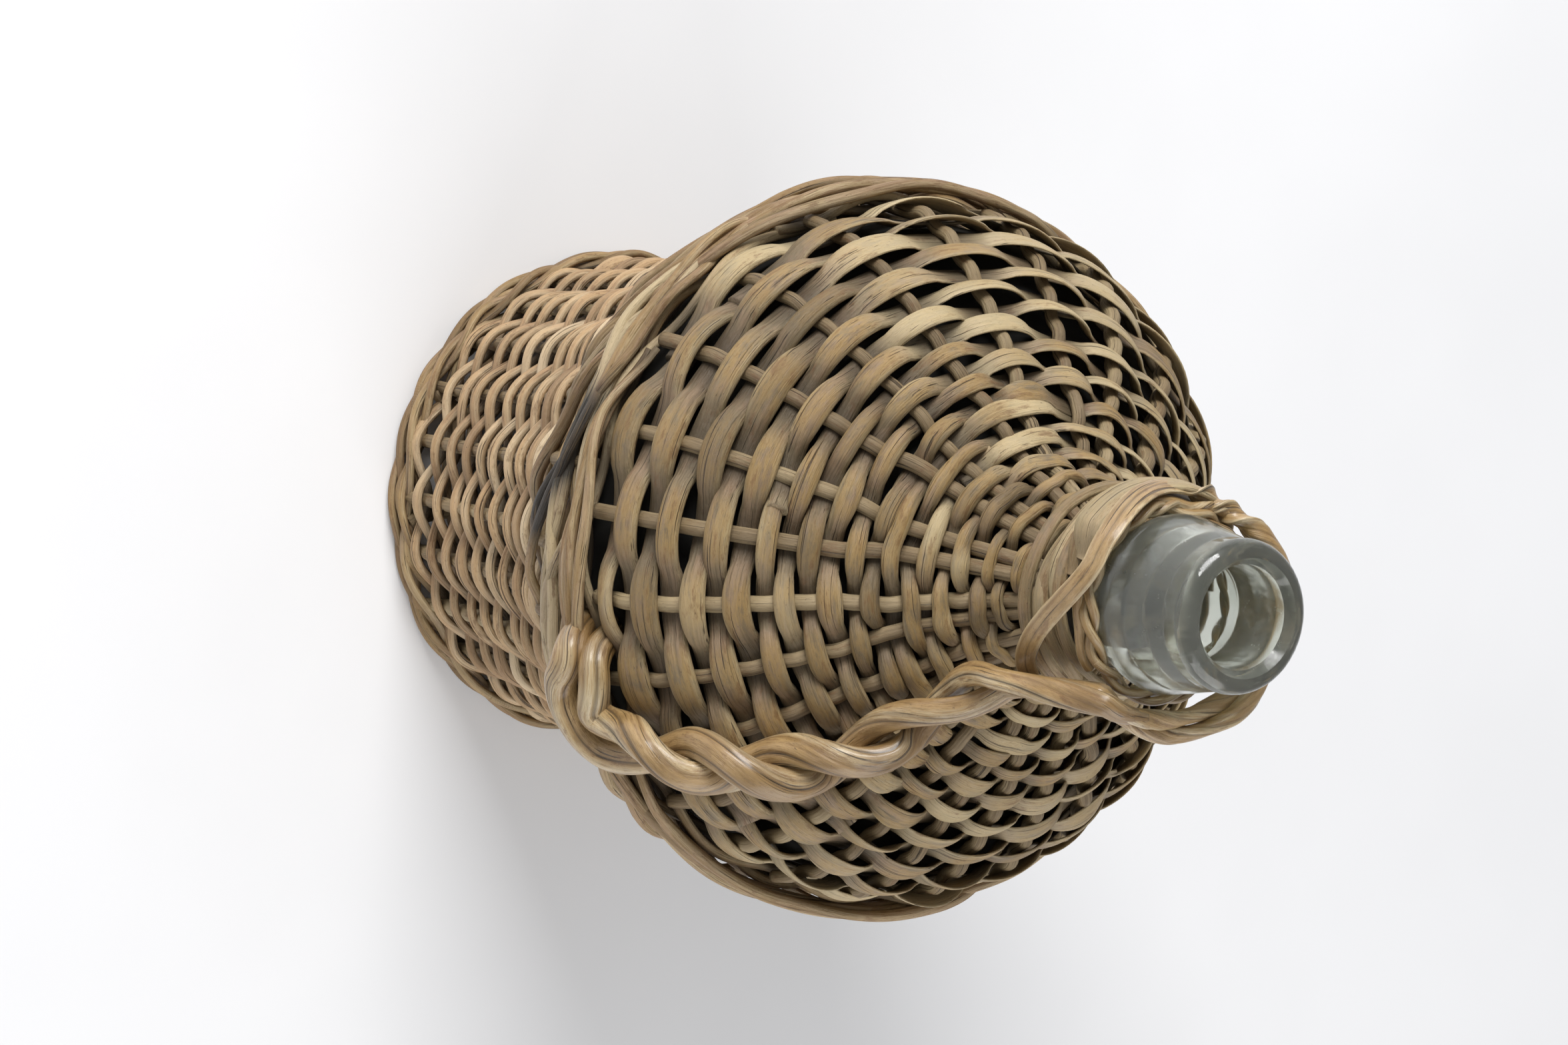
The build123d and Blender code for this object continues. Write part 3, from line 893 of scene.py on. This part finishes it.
def collar_strip(material):
    """Broad strip wound round the top of the neck, with narrower ones round the glass under it."""
    rng = np.random.default_rng(460)
    strands = Strands()
    section = split_section(18)
    radius, height = ring_section("collar_strip").mean(axis=0)
    share = np.linspace(0, 1, COLLAR_STEPS)
    shown = np.minimum(ramp(share, 0, 0.15), ramp(share, 1, 0.85))
    for start, reach, rise, out, width in COLLAR_WINDINGS:
        angle = np.radians(start + reach * share)
        middle, upright, radial = around_axis(
            angle,
            radius + out * shown + wobble(rng, angle, 0.3) - 1.2 * (1 - shown),
            height + rise * (0.8 + 0.2 * shown) + wobble(rng, angle, 0.6),
        )
        strands.add(middle, upright, radial, section, width * (0.6 + 0.4 * shown), COLLAR_THICKNESS, rng,
                    wear=0.75, tone=rng.normal(0.1, 0.4), roll=wobble(rng, angle, 0.25) - 0.4)
    strands.piece("collar_strip_winding", ["collar_strip"], material)


def collar_twist(material):
    """Thin twisted rods that hug the glass under its collar."""
    radius, height = ring_section("collar_twist").mean(axis=0)
    strands = Strands()
    section = round_section(10)
    rng = np.random.default_rng(470)
    for number in range(2):
        angle = np.linspace(0, TURN + 0.1, 420)
        turn = TWIST_TURNS * angle + math.pi * number + wobble(rng, angle, 0.5)
        lift = TWIST_LIFT + 1.1 * np.sin(turn) + wobble(rng, angle, 0.6)
        middle, upright, radial = around_axis(angle, radius + 0.9 * np.cos(turn), height + lift)
        strands.add(middle, upright, radial, section, 2.3, 1.8, rng, wear=0.7, tone=wobble(rng, angle, 0.5))
    strands.piece("collar_twist_rods", ["collar_twist"], material)


# ---------------------------------------------------------------- base

def fanned(offset, run):
    """Sideways place of a base stick, parallel in the middle and fanned out towards its ends."""
    return offset * (1 + BASE_SPREAD * ramp(np.abs(run), BASE_CROSS, BASE_FAN))


def base_sticks(material):
    """Two groups of parallel sticks, crossed in the middle of the base."""
    section = round_section(12)
    for node, lengthwise in (("base_sticks_lower", 0), ("base_sticks_upper", 1)):
        low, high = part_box(node)
        reach = (high[lengthwise] - low[lengthwise]) / MM / 2
        width = (high[1 - lengthwise] - low[1 - lengthwise]) / MM
        size = (high[2] - low[2]) / MM
        height = (high[2] + low[2]) / MM / 2
        strands = Strands()
        run = np.linspace(-reach, reach, 60)
        for number in range(BASE_STICKS):
            rng = np.random.default_rng(500 + number + 10 * lengthwise)
            offset = (number - (BASE_STICKS - 1) / 2) * (width - size) / (BASE_STICKS - 1)
            sideways = fanned(offset, run)
            drop = (height - BASE_STICK_HEIGHT) * ramp(np.abs(run), BASE_CROSS, BASE_DROP)
            middle = np.stack([run, sideways, height - drop], axis=1)
            if lengthwise:
                middle = middle[:, [1, 0, 2]]
            upright = np.broadcast_to(np.array([0.0, 0.0, 1.0]), middle.shape)
            side = np.cross(upright, np.gradient(middle, axis=0))
            strands.add(middle, side, upright, section, size, size * 0.9, rng, tone=rng.normal(0, 0.5))
        strands.piece(f"{node}_rods", [node], material)


def base_rods(material):
    """Rods woven round the crossed sticks, out to the foot."""
    section = round_section(12)
    corners = ring_section("base_weave")
    inner, outer = corners[:, 0].min() + 7, corners[:, 0].max() - 1
    strands = Strands()
    for number, radius in enumerate(np.arange(inner, outer, BASE_PITCH)):
        rng = np.random.default_rng(540 + number)
        angle = np.linspace(0, TURN, 16 * BASE_SPOKES)
        side = np.cos(BASE_SPOKES / 2 * angle + math.pi * number)
        height = BASE_ROD_HEIGHT - BASE_SWING * side
        middle, upright, radial = around_axis(angle, radius + wobble(rng, angle, 0.3), height)
        # Painted light: each rod is lighter where it lies lowest, out on the base's bottom face, and darker, as
        # painted shade, where it dips inward
        strands.add(middle, radial, -upright, section, 2.5, 2.2, rng,
                    wear=(1 + side) / 2, tone=rng.normal(0, 0.5))
    strands.piece("base_weave_rods", ["base_weave"], material)


# ---------------------------------------------------------------- surroundings

def studio():
    """Pale floor, a key light from -Y, a broader and weaker one from the other side and a white sky."""
    floor_mesh = bpy.data.meshes.new("floor")
    half = 3.0
    corners = [(-half, -half, 0), (half, -half, 0), (half, half, 0), (-half, half, 0)]
    floor_mesh.from_pydata(corners, [], [(0, 1, 2, 3)])
    floor_mesh.materials.append(plain("floor_paint", (0.86, 0.86, 0.87), 0.6))
    floor = bpy.data.objects.new("floor", floor_mesh)
    floor.location.z = -0.0003
    bpy.context.scene.collection.objects.link(floor)

    world = bpy.data.worlds.new("sky")
    world.use_nodes = True
    background = world.node_tree.nodes["Background"]
    background.inputs["Color"].default_value = (0.97, 0.98, 1.0, 1)
    background.inputs["Strength"].default_value = 0.42
    bpy.context.scene.world = world
    bpy.context.scene.view_settings.view_transform = "Standard"

    for name, place, energy, size in (
        ("key", (-0.40, -1.20, 0.80), 25, 0.7), ("fill", (0.8, 1.0, 0.65), 13, 1.2),
    ):
        light = bpy.data.lights.new(name, "AREA")
        light.energy = energy
        light.size = size
        lamp = bpy.data.objects.new(name, light)
        lamp.location = place
        aim = Vector((0, 0, 0.12)) - lamp.location
        lamp.rotation_euler = aim.to_track_quat("-Z", "Y").to_euler()
        bpy.context.scene.collection.objects.link(lamp)


def camera():
    """The view from above the mouth, turned so that the flask's axis runs across the picture."""
    azimuth, elevation, roll = (math.radians(angle) for angle in (-44.85, 58.25, 100.98))
    distance = 842.4
    target = Vector((-0.8, -0.8, 84.2))
    back = Vector((
        math.cos(elevation) * math.cos(azimuth), math.cos(elevation) * math.sin(azimuth), math.sin(elevation)
    ))
    right = (-back).cross(Vector((0, 0, 1))).normalized()
    up = right.cross(-back)
    turned_right = right * math.cos(roll) + up * math.sin(roll)
    turned_up = up * math.cos(roll) - right * math.sin(roll)
    data = bpy.data.cameras.new("camera")
    data.lens = 85.04
    data.sensor_width = 36
    data.clip_start = 0.01
    eye = bpy.data.objects.new("camera", data)
    turn = Matrix((turned_right, turned_up, back)).transposed().to_4x4()
    eye.matrix_world = Matrix.Translation((target + back * distance) * MM) @ turn
    bpy.context.scene.collection.objects.link(eye)
    bpy.context.scene.camera = eye


# ---------------------------------------------------------------- the flask

def jacket(rods, strips, borders, uprights):
    """The woven jacket from the foot up to the neck."""
    lower = Wall(["foot_rod_1", *LOWER_ROWS, *BORDER_RINGS])
    shoulder = Wall(UPPER_ROWS)
    lower_stakes = stake_angles("lower_stakes", 60)
    upper_stakes = stake_angles("upper_stakes", 160)

    lower_rows(lower, 1, lower_stakes, rods)
    border(lower, 1 + len(LOWER_ROWS), lower_stakes, borders)
    foot(lower, lower_stakes, borders)
    upper_rows(shoulder, upper_stakes, strips)
    neck_rows(shoulder, upper_stakes, strips)
    stake_rods("lower_stakes_rods", "lower_stakes", lower, range(1, len(lower.rows)),
               lambda length: lower_stakes, lower_side, LOWER_WEAVE, 2, lower.rows[-1] - 2, uprights)
    stake_rods("upper_stakes_rods", "upper_stakes", shoulder, range(len(UPPER_ROWS)),
               lambda length: upper_stakes_at(upper_stakes, length, shoulder),
               upper_side, UPPER_WEAVE, -5.5, shoulder.length_at(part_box("upper_stakes")[1][2] / MM), uprights)
    base_sticks(uprights)
    base_rods(rods)


def flask():
    """All the pieces, each group in its own kind of willow, round the glass bottle."""
    rods = wicker("fine_rods", "7c5f41", "aa8d69", "b3926c", "c2a176", "dac7a6", rough=0.56)
    strips = wicker("split_strips", "54462f", "7f6e54", "8b745a", "a1834f", "c6b48d", rough=0.5)
    borders = wicker("border_rods", "614828", "92774f", "9c7f5f", "a98a5a", "cbb994", rough=0.52)
    uprights = wicker("stakes", "5a4932", "7e6b4e", "857152", "947e58", "b3a07b", rough=0.6)
    bark = wicker("handle_bark", "664823", "937649", "9d8058", "af9060", "d8caa8", rough=0.34,
                  fibre=0.55, coat=0.4)
    jacket(rods, strips, borders, uprights)
    handle(bark)
    neck_loop(bark)
    collar_twist(bark)
    collar_strip(strips)
    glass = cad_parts["glass_bottle"]
    glass.data.materials.clear()
    glass.data.materials.append(clear_glass())


flask()
studio()
camera()
